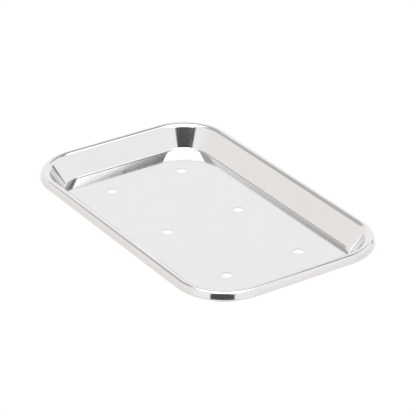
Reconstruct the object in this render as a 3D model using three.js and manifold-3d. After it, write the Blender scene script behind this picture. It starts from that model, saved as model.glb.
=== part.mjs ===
// Shallow rectangular stainless-steel tray: one pressed sheet with a drained floor,
// sloping walls that flare into a turned-down rim, which is folded round a stiffening wire.
// Millimetres, +Z up. The origin is on the surface that the tray stands on, under
// the middle of its floor. The long side runs along X.

import * as THREE from "three";
import { mergeVertices } from "three/addons/utils/BufferGeometryUtils.js";
import Module from "manifold-3d";

const wasm = await Module();
wasm.setup();

// Driving dimensions
const LENGTH = 200;
const WIDTH = 125.5;
const HEIGHT = 13.3;
const CORNER_RADIUS = 31;
const SHEET = 0.6;

const WALL_LEAN = THREE.MathUtils.degToRad(35);
const COVE_RADIUS = 2;

const FLARE_RADIUS = 4;
const FOLD_RADIUS = 2.2;
const SKIRT_LEAN = THREE.MathUtils.degToRad(17.5);
const SKIRT_LENGTH = 2.35;
const LIP_RADIUS = 0.8;
const LIP_TURN = THREE.MathUtils.degToRad(165);

const WIRE_CLEARANCE = 0.3;
const WIRE_RADIUS = FOLD_RADIUS - SHEET - WIRE_CLEARANCE;

const HOLE_DIAMETER = 5.5;
const HOLE_PITCH_X = 60;
const HOLE_PITCH_Y = 48.5;
const HOLE_COLUMNS = 3;
const HOLE_ROWS = 2;

// How finely the curves are cut into flats
const CORNER_STEPS = 6;
const COVE_STEPS = 6;
const FLARE_STEPS = 6;
const FOLD_STEPS = 7;
const LIP_STEPS = 7;
const WIRE_SIDES = 12;
const HOLE_SIDES = 32;

// Cross-section places: x is the inset from the tray's outermost edge, y is the height.
// A facing of zero looks inwards across the tray, and a quarter turn looks up.
const wallFacing = WALL_LEAN;
const upFacing = Math.PI / 2;
const skirtFacing = Math.PI - SKIRT_LEAN;
const lipFacing = skirtFacing + LIP_TURN;

const foldInset = LIP_RADIUS
  + (FOLD_RADIUS - LIP_RADIUS) * Math.cos(SKIRT_LEAN)
  + SKIRT_LENGTH * Math.sin(SKIRT_LEAN);
const foldCentre = new THREE.Vector2(foldInset, HEIGHT - FOLD_RADIUS);
const flareCentre = new THREE.Vector2(foldInset, HEIGHT - FLARE_RADIUS);
const lipCentre = new THREE.Vector2(
  LIP_RADIUS,
  foldCentre.y + (FOLD_RADIUS - LIP_RADIUS) * Math.sin(SKIRT_LEAN) - SKIRT_LENGTH * Math.cos(SKIRT_LEAN),
);
const coveCentre = new THREE.Vector2(0, SHEET + COVE_RADIUS);
const wallTop = along(flareCentre, wallFacing, FLARE_RADIUS);
const wallBottomHeight = coveCentre.y - COVE_RADIUS * Math.sin(wallFacing);
const wallRun = (wallTop.y - wallBottomHeight) * Math.tan(WALL_LEAN);
coveCentre.x = wallTop.x + wallRun + COVE_RADIUS * Math.cos(wallFacing);

// The point at a distance from a centre, in the direction that a face there faces.
function along(centre, facing, distance) {
  return new THREE.Vector2(
    centre.x + distance * Math.cos(facing),
    centre.y + distance * Math.sin(facing),
  );
}

// Points of an arc from one facing to another. A negative radius makes a hollow arc,
// whose faces look towards its centre.
function arc(centre, radius, fromFacing, toFacing, steps) {
  const points = [];
  for (let i = 0; i <= steps; i += 1) {
    const facing = THREE.MathUtils.lerp(fromFacing, toFacing, i / steps);
    points.push(along(centre, facing, radius));
  }
  return points;
}

// The sheet's cross-section, from the edge of the flat floor out to the rim's rolled lip
// along the upper face, and back along the under face.
function sheetSection() {
  const upper = [
    ...arc(coveCentre, -COVE_RADIUS, upFacing, wallFacing, COVE_STEPS),
    ...arc(flareCentre, FLARE_RADIUS, wallFacing, upFacing, FLARE_STEPS),
    ...arc(foldCentre, FOLD_RADIUS, upFacing, skirtFacing, FOLD_STEPS).slice(1),
    ...arc(lipCentre, LIP_RADIUS, skirtFacing, lipFacing, LIP_STEPS),
  ];
  const under = [
    ...arc(lipCentre, LIP_RADIUS - SHEET, lipFacing, skirtFacing, LIP_STEPS),
    ...arc(foldCentre, FOLD_RADIUS - SHEET, skirtFacing, upFacing, FOLD_STEPS),
    ...arc(flareCentre, FLARE_RADIUS - SHEET, upFacing, wallFacing, FLARE_STEPS).slice(1),
    ...arc(coveCentre, -COVE_RADIUS - SHEET, wallFacing, upFacing, COVE_STEPS),
  ];
  return [...upper, ...under];
}

// The wire's round section, which lies inside the fold, round the same centre.
function wireSection() {
  return arc(foldCentre, WIRE_RADIUS, 0, 2 * Math.PI, WIRE_SIDES).slice(1);
}

// The rounded rectangle that lies a given inset inside the tray's outermost edge.
function outline(inset) {
  const radius = CORNER_RADIUS - inset;
  const x = LENGTH / 2 - CORNER_RADIUS;
  const y = WIDTH / 2 - CORNER_RADIUS;
  const shape = new THREE.Shape();
  shape.absarc(x, y, radius, 0, Math.PI / 2);
  shape.absarc(-x, y, radius, Math.PI / 2, Math.PI);
  shape.absarc(-x, -y, radius, Math.PI, 1.5 * Math.PI);
  shape.absarc(x, -y, radius, 1.5 * Math.PI, 2 * Math.PI);
  return shape.getPoints(CORNER_STEPS);
}

// A solid skinned over a section carried round the tray. The section either closes on
// itself or has flat lids that close its first and last outlines.
function carriedRound(section, hasLids) {
  const rings = section.map((point) => outline(point.x));
  const count = rings[0].length;
  const positions = [];
  rings.forEach((ring, i) => {
    ring.forEach((point) => positions.push(point.x, point.y, section[i].y));
  });

  const indices = [];
  const lastRing = hasLids ? rings.length - 1 : rings.length;
  for (let i = 0; i < lastRing; i += 1) {
    const here = i * count;
    const beyond = ((i + 1) % rings.length) * count;
    for (let j = 0; j < count; j += 1) {
      const next = (j + 1) % count;
      indices.push(here + j, beyond + j, here + next);
      indices.push(here + next, beyond + j, beyond + next);
    }
  }
  if (hasLids) {
    const top = THREE.ShapeUtils.triangulateShape(rings[0], []);
    const bottom = THREE.ShapeUtils.triangulateShape(rings[rings.length - 1], []);
    const base = (rings.length - 1) * count;
    top.forEach(([a, b, c]) => indices.push(a, b, c));
    bottom.forEach(([a, b, c]) => indices.push(base + a, base + c, base + b));
  }

  const geometry = new THREE.BufferGeometry();
  geometry.setAttribute("position", new THREE.Float32BufferAttribute(positions, 3));
  geometry.setIndex(indices);
  return geometry;
}

function toManifold(geometry) {
  const bare = geometry.clone();
  bare.deleteAttribute("normal");
  bare.deleteAttribute("uv");
  const merged = mergeVertices(bare, 1e-4);
  return new wasm.Manifold(new wasm.Mesh({
    numProp: 3,
    vertProperties: new Float32Array(merged.attributes.position.array),
    triVerts: new Uint32Array(merged.index.array),
  }));
}

function toGeometry(manifold) {
  const mesh = manifold.getMesh();
  const geometry = new THREE.BufferGeometry();
  geometry.setAttribute("position", new THREE.Float32BufferAttribute(mesh.vertProperties, 3));
  geometry.setIndex(Array.from(mesh.triVerts));
  geometry.computeVertexNormals();
  return geometry;
}

// The drain holes, as a grid of drills that pass right through the floor.
function withDrainHoles(geometry) {
  let solid = toManifold(geometry);
  for (let column = 0; column < HOLE_COLUMNS; column += 1) {
    for (let row = 0; row < HOLE_ROWS; row += 1) {
      const radius = HOLE_DIAMETER / 2;
      const drill = new THREE.CylinderGeometry(radius, radius, 4 * SHEET, HOLE_SIDES);
      drill.rotateX(Math.PI / 2);
      drill.translate(
        (column - (HOLE_COLUMNS - 1) / 2) * HOLE_PITCH_X,
        (row - (HOLE_ROWS - 1) / 2) * HOLE_PITCH_Y,
        SHEET / 2,
      );
      solid = solid.subtract(toManifold(drill));
    }
  }
  return toGeometry(solid);
}

const polishedSteel = new THREE.MeshStandardMaterial({ color: 0xdedddb, roughness: 0.12, metalness: 1 });
const drawnWire = new THREE.MeshStandardMaterial({ color: 0xb9b9b7, roughness: 0.35, metalness: 1 });

const tray = new THREE.Group();

const trayPan = new THREE.Mesh(withDrainHoles(carriedRound(sheetSection(), true)), polishedSteel);
trayPan.name = "tray_pan";
tray.add(trayPan);

const rimWire = new THREE.Mesh(carriedRound(wireSection(), false), drawnWire);
rimWire.name = "rim_wire";
tray.add(rimWire);

export default tray;
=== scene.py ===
"""Looks for a shallow polished stainless-steel tray with drain holes and a wired rim.

The tray is one pressed sheet: a flat floor with a grid of punched holes, a tight cove, sloping
walls and a rim that folds outwards and down round a steel wire. Everything is in metres, in the
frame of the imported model: +Z up, X along the long side, the origin under the middle of the floor.
"""

import logging
import math
from collections.abc import Sequence
from dataclasses import dataclass
from enum import Enum

import bmesh
import bpy
from mathutils import Matrix, Vector

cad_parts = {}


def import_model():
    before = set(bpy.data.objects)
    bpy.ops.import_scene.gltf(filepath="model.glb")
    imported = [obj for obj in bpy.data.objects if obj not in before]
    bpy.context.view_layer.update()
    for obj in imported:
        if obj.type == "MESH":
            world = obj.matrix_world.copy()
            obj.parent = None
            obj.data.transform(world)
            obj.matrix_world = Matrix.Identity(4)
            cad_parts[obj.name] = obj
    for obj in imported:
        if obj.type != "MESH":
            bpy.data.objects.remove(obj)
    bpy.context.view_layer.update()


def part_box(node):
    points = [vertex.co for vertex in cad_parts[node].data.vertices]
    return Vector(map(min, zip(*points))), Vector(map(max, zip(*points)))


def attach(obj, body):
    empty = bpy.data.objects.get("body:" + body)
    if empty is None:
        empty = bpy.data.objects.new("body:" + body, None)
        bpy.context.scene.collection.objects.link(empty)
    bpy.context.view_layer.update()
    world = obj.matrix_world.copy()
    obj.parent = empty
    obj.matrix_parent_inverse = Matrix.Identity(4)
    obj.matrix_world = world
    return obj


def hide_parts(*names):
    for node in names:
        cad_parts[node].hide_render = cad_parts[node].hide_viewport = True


LOG = logging.getLogger("tray_scene")
MM = 0.001

# Points nearer than this are one point, and heights nearer than this are one level.
MERGE_DISTANCE = 0.001 * MM
LEVEL_TOLERANCE = 0.01 * MM

# The sRGB curve: a straight toe, then a power.
SRGB_TOE_END = 0.04045
SRGB_TOE_SLOPE = 12.92
SRGB_OFFSET = 0.055
SRGB_POWER = 2.4

# The Mix node's colour sockets, by number, because its other kinds share their names.
MIX_COLOUR_A = 6
MIX_COLOUR_B = 7
MIX_COLOUR_RESULT = 2


class Slot(Enum):
    """The record's material slots."""

    SHEET = "polished_stainless"
    WIRE = "drawn_wire"


class Node(Enum):
    """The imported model's nodes."""

    PAN = "tray_pan"
    WIRE = "rim_wire"


def linear(hex_colour: str) -> tuple[float, float, float, float]:
    """Turn an sRGB hex colour into linear light.

    Args:
        hex_colour: Six hex digits after a hash.

    Returns:
        Linear red, green and blue, and full cover.
    """
    digits = hex_colour.lstrip("#")
    channels = [int(digits[i : i + 2], 16) / 255 for i in (0, 2, 4)]
    curved = [
        c / SRGB_TOE_SLOPE
        if c <= SRGB_TOE_END
        else ((c + SRGB_OFFSET) / (1 + SRGB_OFFSET)) ** SRGB_POWER
        for c in channels
    ]
    return (*curved, 1.0)


def add_node(
    tree: bpy.types.NodeTree,
    kind: str,
    settings: dict[str, object] | None = None,
    inputs: dict[str | int, object] | None = None,
) -> bpy.types.Node:
    """Add one node with its settings and links.

    Args:
        tree: The node tree that gets the node.
        kind: The node's type name.
        settings: Attributes to set on the node.
        inputs: Input socket names or numbers, each with a value or the output socket to link.

    Returns:
        The new node.
    """
    node = tree.nodes.new(kind)
    for name, value in (settings or {}).items():
        setattr(node, name, value)
    for key, value in (inputs or {}).items():
        if isinstance(value, bpy.types.NodeSocket):
            tree.links.new(value, node.inputs[key])
        else:
            node.inputs[key].default_value = value
    return node


def new_material(name: str) -> tuple[bpy.types.Material, bpy.types.NodeTree]:
    """Make an empty node material.

    Args:
        name: The finish's name.

    Returns:
        The material and its node tree, which holds only an output node.
    """
    material = bpy.data.materials.new(name)
    material.use_nodes = True
    tree = material.node_tree
    tree.nodes.clear()
    return material, tree


@dataclass(frozen=True)
class PolishedStainless:
    """Buffed 18-8 stainless sheet.

    The sheet is cold rolled, pressed and then buffed to a mirror, so it reflects the room
    crisply. Faint buffing lines along the tray, a slow waviness left by the press and thin
    smears from handling keep the reflection from being perfect.
    """

    name: str = "polished_stainless_sheet"
    bright: str = "#dfdfe0"
    dull: str = "#dbdbdb"
    roughness_low: float = 0.06
    roughness_high: float = 0.11

    # The buffing grit leaves lines a few hundredths of a millimetre apart. They are drawn
    # coarser, so that they show.
    buff_line_gap_mm: float = 0.7
    buff_line_run_mm: float = 28.0
    buff_line_depth_mm: float = 0.00035

    # A thin pressed floor waves a little between its holes.
    wave_gap_mm: float = 34.0
    wave_depth_mm: float = 0.012

    # A wipe or a fingertip leaves a smear about this wide.
    smear_gap_mm: float = 17.0

    def make(self) -> bpy.types.Material:
        """Build the node material and return it."""
        material, tree = new_material(self.name)
        place = add_node(tree, "ShaderNodeTexCoord").outputs["Object"]
        along = add_node(
            tree,
            "ShaderNodeMapping",
            inputs={
                "Vector": place,
                "Scale": (self.buff_line_gap_mm / self.buff_line_run_mm, 1.0, 1.0),
            },
        ).outputs["Vector"]
        lines = add_node(
            tree,
            "ShaderNodeTexNoise",
            inputs={
                "Vector": along,
                "Scale": 1 / (self.buff_line_gap_mm * MM),
                "Detail": 3.0,
                "Roughness": 0.6,
            },
        ).outputs["Fac"]
        waves = add_node(
            tree,
            "ShaderNodeTexNoise",
            inputs={"Vector": place, "Scale": 1 / (self.wave_gap_mm * MM), "Detail": 1.0},
        ).outputs["Fac"]
        smears = add_node(
            tree,
            "ShaderNodeTexNoise",
            inputs={
                "Vector": place,
                "Scale": 1 / (self.smear_gap_mm * MM),
                "Detail": 4.0,
                "Distortion": 0.6,
            },
        ).outputs["Fac"]
        waved = add_node(
            tree,
            "ShaderNodeBump",
            inputs={"Strength": 1.0, "Distance": self.wave_depth_mm * MM, "Height": waves},
        ).outputs["Normal"]
        lined = add_node(
            tree,
            "ShaderNodeBump",
            inputs={
                "Strength": 1.0,
                "Distance": self.buff_line_depth_mm * MM,
                "Height": lines,
                "Normal": waved,
            },
        ).outputs["Normal"]
        rough = add_node(
            tree,
            "ShaderNodeMapRange",
            inputs={
                "Value": smears,
                "From Min": 0.35,
                "From Max": 0.7,
                "To Min": self.roughness_low,
                "To Max": self.roughness_high,
            },
        ).outputs["Result"]
        tint = add_node(
            tree,
            "ShaderNodeMix",
            {"data_type": "RGBA"},
            {
                "Factor": smears,
                MIX_COLOUR_A: linear(self.bright),
                MIX_COLOUR_B: linear(self.dull),
            },
        ).outputs[MIX_COLOUR_RESULT]
        shader = add_node(
            tree,
            "ShaderNodeBsdfPrincipled",
            inputs={
                "Base Color": tint,
                "Metallic": 1.0,
                "Roughness": rough,
                "Normal": lined,
            },
        ).outputs["BSDF"]
        add_node(tree, "ShaderNodeOutputMaterial", inputs={"Surface": shader})
        return material


@dataclass(frozen=True)
class DrawnWire:
    """Bright drawn steel wire.

    Drawing through a die leaves a fine grain and traces of dried lubricant, so the wire is
    duller than the buffed sheet, with a slightly darker staining here and there.
    """

    name: str = "drawn_steel_wire"
    clean: str = "#c4c3c0"
    stained: str = "#a09d98"
    roughness_low: float = 0.24
    roughness_high: float = 0.42

    # The die's grain is a few hundredths of a millimetre. It is drawn coarser, so that it
    # shows, and the same in all directions.
    grain_gap_mm: float = 0.35
    grain_depth_mm: float = 0.004
    stain_gap_mm: float = 9.0

    def make(self) -> bpy.types.Material:
        """Build the node material and return it."""
        material, tree = new_material(self.name)
        place = add_node(tree, "ShaderNodeTexCoord").outputs["Object"]
        grain = add_node(
            tree,
            "ShaderNodeTexNoise",
            inputs={"Vector": place, "Scale": 1 / (self.grain_gap_mm * MM), "Detail": 2.0},
        ).outputs["Fac"]
        stains = add_node(
            tree,
            "ShaderNodeTexNoise",
            inputs={"Vector": place, "Scale": 1 / (self.stain_gap_mm * MM), "Detail": 5.0},
        ).outputs["Fac"]
        grained = add_node(
            tree,
            "ShaderNodeBump",
            inputs={"Strength": 1.0, "Distance": self.grain_depth_mm * MM, "Height": grain},
        ).outputs["Normal"]
        rough = add_node(
            tree,
            "ShaderNodeMapRange",
            inputs={
                "Value": stains,
                "From Min": 0.3,
                "From Max": 0.7,
                "To Min": self.roughness_low,
                "To Max": self.roughness_high,
            },
        ).outputs["Result"]
        tint = add_node(
            tree,
            "ShaderNodeMix",
            {"data_type": "RGBA"},
            {
                "Factor": stains,
                MIX_COLOUR_A: linear(self.clean),
                MIX_COLOUR_B: linear(self.stained),
            },
        ).outputs[MIX_COLOUR_RESULT]
        shader = add_node(
            tree,
            "ShaderNodeBsdfPrincipled",
            inputs={
                "Base Color": tint,
                "Metallic": 1.0,
                "Roughness": rough,
                "Normal": grained,
            },
        ).outputs["BSDF"]
        add_node(tree, "ShaderNodeOutputMaterial", inputs={"Surface": shader})
        return material


@dataclass
class Plan:
    """The rounded rectangle that the tray's section is carried round.

    Its guard is a short length beside each corner, which keeps the corner's curved shading off
    the straight side.
    """

    length: float
    width: float
    corner_radius: float = 31.0 * MM
    corner_steps: int = 36
    guard: float = 0.6 * MM

    def corner_centre(self, height: float = 0.0) -> Vector:
        """The centre of the corner in the +X, +Y quarter."""
        x = self.length / 2 - self.corner_radius
        y = self.width / 2 - self.corner_radius
        return Vector((x, y, height))

    def at(self, inset: float, height: float) -> Vector:
        """A section point, where the corner starts on the +X side."""
        centre = self.corner_centre(height)
        return centre + Vector((self.corner_radius - inset, 0.0, 0.0))

    def carry(self, bm: bmesh.types.BMesh) -> None:
        """Carry the section that the mesh holds right round the plan.

        The section is spun through one corner, its two ends are drawn out straight to the
        middles of the sides, and the quarter is mirrored twice.

        Args:
            bm: A mesh that holds only the section, at the corner's start on the +X side.
        """
        start = list(bm.edges)
        centre = self.corner_centre()
        spun = bmesh.ops.spin(
            bm,
            geom=[*bm.verts, *bm.edges],
            cent=centre,
            axis=(0.0, 0.0, 1.0),
            angle=math.pi / 2,
            steps=self.corner_steps,
            use_merge=False,
            use_duplicate=False,
        )
        end = [item for item in spun["geom_last"] if isinstance(item, bmesh.types.BMEdge)]
        down_side = Vector((0.0, -centre.y, 0.0))
        along_side = Vector((-centre.x, 0.0, 0.0))
        for edges, run in ((start, down_side), (end, along_side)):
            for share in (self.guard / run.length, 1 - self.guard / run.length):
                edges = self._draw_out(bm, edges, run * share)
        for axis in ("X", "Y"):
            bmesh.ops.mirror(
                bm,
                geom=[*bm.verts, *bm.edges, *bm.faces],
                matrix=Matrix.Identity(4),
                merge_dist=MERGE_DISTANCE,
                axis=axis,
            )

    @staticmethod
    def _draw_out(
        bm: bmesh.types.BMesh, edges: Sequence[bmesh.types.BMEdge], run: Vector
    ) -> list[bmesh.types.BMEdge]:
        """Extrude edges along a straight run.

        Args:
            bm: The mesh.
            edges: The edges to extrude.
            run: How far they go.

        Returns:
            The new far edges.
        """
        drawn = bmesh.ops.extrude_edge_only(bm, edges=edges)["geom"]
        verts = [item for item in drawn if isinstance(item, bmesh.types.BMVert)]
        bmesh.ops.translate(bm, vec=run, verts=verts)
        return [item for item in drawn if isinstance(item, bmesh.types.BMEdge)]


@dataclass
class Piece:
    """A piece of the tray, which follows the tray's plan."""

    plan: Plan

    def publish(
        self,
        bm: bmesh.types.BMesh,
        name: str,
        material: bpy.types.Material,
        node: Node,
        slot: Slot,
    ) -> bpy.types.Object:
        """Turn a mesh into an object that rides on the tray and stands for its node.

        Args:
            bm: The finished mesh, which is freed.
            name: The piece's name.
            material: Its finish.
            node: The node that it stands for.
            slot: The record's material slot; not used.

        Returns:
            The new object.
        """
        mesh = bpy.data.meshes.new(name)
        bm.to_mesh(mesh)
        bm.free()
        mesh.shade_smooth()
        mesh.materials.append(material)
        piece = bpy.data.objects.new(name, mesh)
        bpy.context.scene.collection.objects.link(piece)
        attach(piece, "root")
        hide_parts(node.value)
        LOG.info("%s: %d vertices, %d faces", name, len(mesh.vertices), len(mesh.polygons))
        return piece


@dataclass
class PressedPan(Piece):
    """The pressed sheet: floor, cove, walls and the rim folded out and down.

    Radii are those of the sheet's upper face, and leans are from the upright. The wall leans
    more at its top than at its foot by its bow. The guard is a short edge at each end of a
    straight, which keeps the curved shading beside it off the straight.
    """

    height: float
    sheet: float = 0.6 * MM

    wall_lean: float = math.radians(35)
    wall_bow: float = math.radians(0.8)
    cove_radius: float = 2.0 * MM

    flare_radius: float = 4.0 * MM
    fold_radius: float = 2.2 * MM
    skirt_lean: float = math.radians(17.5)
    skirt_length: float = 2.35 * MM
    lip_radius: float = 0.8 * MM
    lip_turn: float = math.radians(165)
    wire_clearance: float = 0.3 * MM

    hole_radius: float = 2.75 * MM
    hole_pitch_x: float = 60.0 * MM
    hole_pitch_y: float = 48.5 * MM
    hole_columns: int = 3
    hole_rows: int = 2

    # Flat rings left beside the cove and round each hole
    floor_margin: float = 0.75 * MM
    hole_margin: float = 0.6 * MM

    # How finely the curves are cut
    lip_steps: int = 16
    fold_steps: int = 20
    flare_steps: int = 18
    wall_steps: int = 12
    cove_steps: int = 18
    hole_sides: int = 48
    guard: float = 0.25 * MM

    # The sheared edges of the lip and the holes
    edge_rounding: float = 0.12 * MM
    edge_segments: int = 2
    edge_angle: float = math.radians(50)

    @property
    def wire_radius(self) -> float:
        """The radius of the wire that the fold leaves room for."""
        return self.fold_radius - self.sheet - self.wire_clearance

    @property
    def fold_centre(self) -> Vector:
        """The middle of the rim's fold, as inset and height."""
        step = self.fold_radius - self.lip_radius
        inset = self.lip_radius + step * math.cos(self.skirt_lean)
        inset += self.skirt_length * math.sin(self.skirt_lean)
        return Vector((inset, self.height - self.fold_radius))

    @property
    def hole_places(self) -> list[tuple[float, float]]:
        """The middles of the drain holes, as X and Y."""
        return [
            (
                (column - (self.hole_columns - 1) / 2) * self.hole_pitch_x,
                (row - (self.hole_rows - 1) / 2) * self.hole_pitch_y,
            )
            for column in range(self.hole_columns)
            for row in range(self.hole_rows)
        ]

    def _section(self, bm: bmesh.types.BMesh) -> None:
        """Draw the sheet's upper face as a chain of edges, from the lip to the floor.

        Each arc is a point spun about the arc's centre, and each straight is a point drawn
        along. Turns are counted from the outward level, upwards and over.

        Args:
            bm: The mesh that gets the chain.
        """
        fold = self.fold_centre
        step = self.fold_radius - self.lip_radius
        lip_height = fold.y + step * math.sin(self.skirt_lean)
        lip_height -= self.skirt_length * math.cos(self.skirt_lean)
        lip = self.plan.at(self.lip_radius, lip_height)
        crest = self.plan.at(fold.x, fold.y)
        flare = self.plan.at(fold.x, self.height - self.flare_radius)
        top_lean = self.wall_lean + self.wall_bow / 2
        foot_lean = self.wall_lean - self.wall_bow / 2

        lip_start = self._face(self.skirt_lean - self.lip_turn)
        up_skirt = self._face(self.skirt_lean + math.pi / 2)
        vert = bmesh.ops.create_vert(bm, co=lip + lip_start * self.lip_radius)["vert"][0]
        vert = self._arc(bm, vert, lip, self.lip_turn, self.lip_steps)
        vert = self._straight(bm, vert, up_skirt, self.skirt_length)
        vert = self._arc(bm, vert, crest, math.pi / 2 - self.skirt_lean, self.fold_steps)
        vert = self._arc(bm, vert, flare, math.pi / 2 - top_lean, self.flare_steps)
        foot_height = self.sheet + self.cove_radius * (1 - math.sin(foot_lean))
        bow_radius = (vert.co.z - foot_height) / (math.sin(top_lean) - math.sin(foot_lean))
        bow = vert.co - self._face(math.pi - top_lean) * bow_radius
        vert = self._arc(bm, vert, bow, self.wall_bow, self.wall_steps)
        cove = vert.co + self._face(math.pi - foot_lean) * self.cove_radius
        vert = self._arc(bm, vert, cove, foot_lean - math.pi / 2, self.cove_steps)
        self._straight(bm, vert, self._face(math.pi), self.floor_margin)

    @staticmethod
    def _face(turn: float) -> Vector:
        """The direction that a face looks in: 0 is outwards, a quarter turn is up."""
        return Vector((math.cos(turn), 0.0, math.sin(turn)))

    @staticmethod
    def _arc(
        bm: bmesh.types.BMesh, vert: bmesh.types.BMVert, centre: Vector, turn: float, steps: int
    ) -> bmesh.types.BMVert:
        """Spin a point about a centre in the section's plane.

        Args:
            bm: The mesh.
            vert: The point that the arc starts from.
            centre: The arc's centre.
            turn: The angle, from outwards towards up.
            steps: How many edges the arc gets.

        Returns:
            The arc's last point.
        """
        spun = bmesh.ops.spin(
            bm,
            geom=[vert],
            cent=centre,
            axis=(0.0, -1.0, 0.0),
            angle=turn,
            steps=steps,
            use_merge=False,
            use_duplicate=False,
        )
        return next(item for item in spun["geom_last"] if isinstance(item, bmesh.types.BMVert))

    def _straight(
        self, bm: bmesh.types.BMesh, vert: bmesh.types.BMVert, way: Vector, length: float
    ) -> bmesh.types.BMVert:
        """Draw a point along a straight, with a short edge at each end to keep it flat.

        Args:
            bm: The mesh.
            vert: The point that the straight starts from.
            way: Its direction.
            length: Its whole length.

        Returns:
            The straight's last point.
        """
        for run in (self.guard, length - 2 * self.guard, self.guard):
            vert = bmesh.ops.extrude_vert_indiv(bm, verts=[vert])["verts"][0]
            bmesh.ops.translate(bm, vec=way * run, verts=[vert])
        return vert

    def _floor(self, bm: bmesh.types.BMesh) -> None:
        """Fill the floor inside the cove, round the drain holes, which each get a flat margin.

        Args:
            bm: The mesh, which holds the skin of the walls and rim.
        """
        boundary = [
            edge
            for edge in bm.edges
            if edge.is_boundary
            and all(abs(vert.co.z - self.sheet) < LEVEL_TOLERANCE for vert in edge.verts)
        ]
        for x, y in self.hole_places:
            place = Matrix.Translation((x, y, self.sheet))
            ring = bmesh.ops.create_circle(
                bm, cap_ends=False, segments=self.hole_sides, radius=self.hole_radius, matrix=place
            )["verts"]
            edges = list({edge for vert in ring for edge in vert.link_edges})
            drawn = bmesh.ops.extrude_edge_only(bm, edges=edges)["geom"]
            growth = 1 + self.hole_margin / self.hole_radius
            bmesh.ops.scale(
                bm,
                vec=(growth, growth, 1.0),
                space=place.inverted(),
                verts=[item for item in drawn if isinstance(item, bmesh.types.BMVert)],
            )
            boundary += [item for item in drawn if isinstance(item, bmesh.types.BMEdge)]
        bmesh.ops.triangle_fill(
            bm, use_beauty=True, use_dissolve=False, edges=boundary, normal=(0.0, 0.0, 1.0)
        )

    def build(self, finish: PolishedStainless) -> bpy.types.Object:
        """Build the sheet and dress it.

        Args:
            finish: The sheet's finish.

        Returns:
            The new object.
        """
        bm = bmesh.new()
        self._section(bm)
        self.plan.carry(bm)
        self._floor(bm)
        bmesh.ops.remove_doubles(bm, verts=bm.verts, dist=MERGE_DISTANCE)
        bmesh.ops.recalc_face_normals(bm, faces=bm.faces)
        # The skin is open, so it may come out facing down. Floor and walls both face up on it.
        broadest = max(bm.faces, key=lambda face: face.calc_area())
        if broadest.normal.z < 0:
            bmesh.ops.reverse_faces(bm, faces=bm.faces)
        piece = self.publish(bm, "tray_sheet", finish.make(), Node.PAN, Slot.SHEET)

        # The skin is the upper face, and the sheet's thickness goes under it.
        skin = piece.modifiers.new("sheet_thickness", "SOLIDIFY")
        skin.thickness = self.sheet
        skin.offset = -1.0
        skin.use_even_offset = True
        skin.use_quality_normals = True
        rounding = piece.modifiers.new("edge_rounding", "BEVEL")
        rounding.width = self.edge_rounding
        rounding.segments = self.edge_segments
        rounding.limit_method = "ANGLE"
        rounding.angle_limit = self.edge_angle
        shading = piece.modifiers.new("flat_faces_stay_flat", "WEIGHTED_NORMAL")
        shading.mode = "FACE_AREA"
        return piece


@dataclass
class RimWire(Piece):
    """The stiffening wire, which lies inside the rim's fold.

    Its centre is an inset and a height.
    """

    centre: Vector
    radius: float
    sides: int = 20

    def build(self, finish: DrawnWire) -> bpy.types.Object:
        """Build the wire and dress it.

        Args:
            finish: The wire's finish.

        Returns:
            The new object.
        """
        upright = Matrix.Rotation(math.pi / 2, 4, "X")
        bm = bmesh.new()
        bmesh.ops.create_circle(
            bm,
            cap_ends=False,
            segments=self.sides,
            radius=self.radius,
            matrix=Matrix.Translation(self.plan.at(self.centre.x, self.centre.y)) @ upright,
        )
        self.plan.carry(bm)
        bmesh.ops.remove_doubles(bm, verts=bm.verts, dist=MERGE_DISTANCE)
        bmesh.ops.recalc_face_normals(bm, faces=bm.faces)
        return self.publish(bm, "rim_wire_round", finish.make(), Node.WIRE, Slot.WIRE)


def direction(azimuth: float, elevation: float) -> Vector:
    """The way from the tray to something round it.

    Args:
        azimuth: Degrees round from +X towards +Y.
        elevation: Degrees above the horizon.

    Returns:
        A vector of length one.
    """
    around = math.radians(azimuth)
    above = math.radians(elevation)
    return Vector(
        (
            math.cos(above) * math.cos(around),
            math.cos(above) * math.sin(around),
            math.sin(above),
        )
    )


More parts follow.
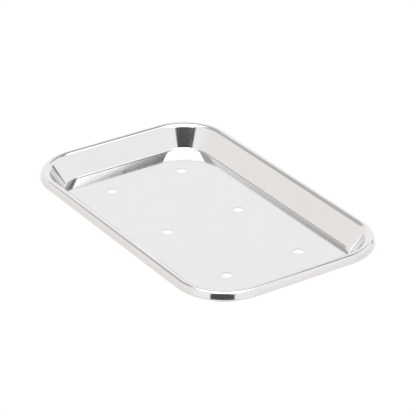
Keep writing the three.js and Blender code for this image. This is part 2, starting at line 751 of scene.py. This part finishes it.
@dataclass(frozen=True)
class Card:
    """A flat card, facing the tray, that the polished steel reflects.

    Its place and its spans are angles in degrees, as the tray sees it, and its distance is in
    metres. It fades out over the last share of the way from its middle to its edges.
    """

    name: str
    azimuth: float
    elevation: float
    wide: float
    tall: float
    colour: str
    strength: float
    fade: float
    distance: float

    def build(self) -> bpy.types.Object:
        """Build the card as a stage object that the camera itself doesn't see."""
        back = direction(self.azimuth, self.elevation)
        turn = back.to_track_quat("Z", "Y").to_matrix().to_4x4()
        half = [self.distance * math.tan(math.radians(span / 2)) for span in (self.wide, self.tall)]
        stretch = Matrix.Diagonal((half[0], half[1], 1.0, 1.0))
        bm = bmesh.new()
        bm.loops.layers.uv.new("card")
        bmesh.ops.create_grid(
            bm,
            x_segments=1,
            y_segments=1,
            size=1.0,
            matrix=Matrix.Translation(back * self.distance) @ turn @ stretch,
            calc_uvs=True,
        )
        mesh = bpy.data.meshes.new(self.name)
        bm.to_mesh(mesh)
        bm.free()
        mesh.materials.append(self._finish())
        card = bpy.data.objects.new(self.name, mesh)
        card.visible_camera = False
        bpy.context.scene.collection.objects.link(card)
        return card

    def _finish(self) -> bpy.types.Material:
        """Make the card's glow, which fades to clear at its edges."""
        material, tree = new_material(self.name)
        place = add_node(tree, "ShaderNodeTexCoord").outputs["UV"]
        centred = add_node(
            tree,
            "ShaderNodeMapping",
            inputs={"Vector": place, "Location": (-1.0, -1.0, 0.0), "Scale": (2.0, 2.0, 0.0)},
        ).outputs["Vector"]
        sides = add_node(
            tree, "ShaderNodeVectorMath", {"operation": "ABSOLUTE"}, {0: centred}
        ).outputs["Vector"]
        parts = add_node(tree, "ShaderNodeSeparateXYZ", inputs={"Vector": sides}).outputs
        reach = add_node(
            tree, "ShaderNodeMath", {"operation": "MAXIMUM"}, {0: parts["X"], 1: parts["Y"]}
        ).outputs["Value"]
        cover = add_node(
            tree,
            "ShaderNodeMapRange",
            {"interpolation_type": "SMOOTHSTEP"},
            {
                "Value": reach,
                "From Min": 1.0 - self.fade,
                "From Max": 1.0,
                "To Min": 1.0,
                "To Max": 0.0,
            },
        ).outputs["Result"]
        glow = add_node(
            tree,
            "ShaderNodeEmission",
            inputs={"Color": linear(self.colour), "Strength": self.strength},
        ).outputs["Emission"]
        clear = add_node(tree, "ShaderNodeBsdfTransparent").outputs["BSDF"]
        both = add_node(
            tree, "ShaderNodeMixShader", inputs={0: cover, 1: clear, 2: glow}
        ).outputs["Shader"]
        add_node(tree, "ShaderNodeOutputMaterial", inputs={"Surface": both})
        return material


@dataclass
class Studio:
    """The floor, the room's even light, the cards and the camera.

    Angles are in degrees: azimuths go from +X towards +Y, and elevations up from the horizon.
    The camera looks past the middle of the tray by its two aims.
    """

    floor_size: float = 8.0
    floor_gap: float = 0.2 * MM
    floor_colour: str = "#ffffff"
    floor_strength: float = 1.03
    mirrored_colour: str = "#fdf8f4"
    mirrored_strength: float = 1.06

    room_colour: str = "#fefdff"
    room_strength: float = 1.14

    camera_azimuth: float = -33.70
    camera_elevation: float = 27.86
    camera_distance: float = 1284.4 * MM
    aim_right: float = 2.784 * MM
    aim_up: float = 7.637 * MM
    lens_mm: float = 194.0
    sensor_mm: float = 36.0
    clip_start: float = 0.05
    clip_end: float = 20.0

    # Name, azimuth, elevation, width, height, colour, strength, fade and distance. The softbox
    # hangs over the tray, the ceiling is beyond it, and the three camera cards stand together
    # behind and above the camera.
    cards: tuple[Card, ...] = (
        Card("overhead_softbox", -34.0, 84.3, 50.0, 65.6, "#ffffff", 2.1, 0.03, 1.2),
        Card("dark_ceiling", 164.0, 60.0, 82.0, 48.0, "#cdcbc7", 1.0, 0.3, 2.6),
        Card("dark_ceiling_gap", 112.0, 57.0, 26.0, 10.0, "#868482", 1.0, 0.4, 2.4),
        Card("dark_camera_side", -38.0, 6.0, 48.0, 56.0, "#585655", 1.0, 0.15, 2.6),
        Card("dark_camera_neck", -40.0, 38.0, 31.0, 20.0, "#585655", 1.0, 0.12, 2.7),
        Card("dark_camera_top", -40.0, 50.0, 52.0, 14.0, "#585655", 1.0, 0.2, 2.8),
        Card("dark_doorway", 100.0, 9.0, 12.0, 20.0, "#a8a5a0", 1.0, 0.5, 2.8),
        Card("warm_side", -141.0, 20.0, 112.0, 64.0, "#fffbf8", 1.07, 1.0, 3.0),
    )

    def build(self) -> None:
        """Build the whole studio."""
        self._floor()
        self._room()
        for card in self.cards:
            card.build()
            LOG.info("card %s", card.name)
        self._camera()

    def _floor(self) -> None:
        """Lay the pale floor, which glows so that no shadow shows on it.

        It lies a hair under the tray, so that the two faces don't share a plane. The steel
        mirrors a second, slightly warmer ground.
        """
        seen = self._ground("floor", -self.floor_gap, self.floor_colour, self.floor_strength)
        seen.visible_glossy = False
        mirrored = self._ground(
            "floor_in_reflections",
            -2 * self.floor_gap,
            self.mirrored_colour,
            self.mirrored_strength,
        )
        mirrored.visible_camera = False

    def _ground(self, name: str, height: float, colour: str, strength: float) -> bpy.types.Object:
        """Lay one glowing ground plane.

        Args:
            name: The plane's name.
            height: Where it lies.
            colour: Its colour.
            strength: How brightly it glows.

        Returns:
            The plane, marked as part of the stage.
        """
        bm = bmesh.new()
        bmesh.ops.create_grid(
            bm,
            x_segments=1,
            y_segments=1,
            size=self.floor_size / 2,
            matrix=Matrix.Translation((0.0, 0.0, height)),
        )
        mesh = bpy.data.meshes.new(name)
        bm.to_mesh(mesh)
        bm.free()
        material, tree = new_material(name)
        glow = add_node(
            tree,
            "ShaderNodeEmission",
            inputs={"Color": linear(colour), "Strength": strength},
        ).outputs["Emission"]
        add_node(tree, "ShaderNodeOutputMaterial", inputs={"Surface": glow})
        mesh.materials.append(material)
        ground = bpy.data.objects.new(name, mesh)
        bpy.context.scene.collection.objects.link(ground)
        return ground

    def _room(self) -> None:
        """Fill the room with even light."""
        world = bpy.data.worlds.new("room")
        world.use_nodes = True
        tree = world.node_tree
        tree.nodes.clear()
        light = add_node(
            tree,
            "ShaderNodeBackground",
            inputs={"Color": linear(self.room_colour), "Strength": self.room_strength},
        ).outputs["Background"]
        add_node(tree, "ShaderNodeOutputWorld", inputs={"Surface": light})
        bpy.context.scene.world = world
        bpy.context.scene.view_settings.view_transform = "Standard"

    def _camera(self) -> None:
        """Set the camera, which stands back along its direction from where it looks."""
        back = direction(self.camera_azimuth, self.camera_elevation)
        right = Vector((0.0, 0.0, 1.0)).cross(back).normalized()
        up = back.cross(right)
        data = bpy.data.cameras.new("camera")
        data.sensor_width = self.sensor_mm
        data.lens = self.lens_mm
        data.clip_start = self.clip_start
        data.clip_end = self.clip_end
        camera = bpy.data.objects.new("camera", data)
        camera.rotation_mode = "QUATERNION"
        camera.rotation_quaternion = (-back).to_track_quat("-Z", "Y")
        camera.location = right * self.aim_right + up * self.aim_up + back * self.camera_distance
        bpy.context.scene.collection.objects.link(camera)
        bpy.context.scene.camera = camera


def main() -> None:
    """Build the tray and its studio in order."""
    logging.basicConfig(level=logging.INFO, format="%(message)s")
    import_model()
    low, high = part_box(Node.PAN.value)
    span = high - low
    plan = Plan(length=span.x, width=span.y)
    pan = PressedPan(plan=plan, height=span.z)
    pan.build(PolishedStainless())
    RimWire(plan=plan, centre=pan.fold_centre, radius=pan.wire_radius).build(DrawnWire())
    Studio().build()


if __name__ == "__main__":
    main()
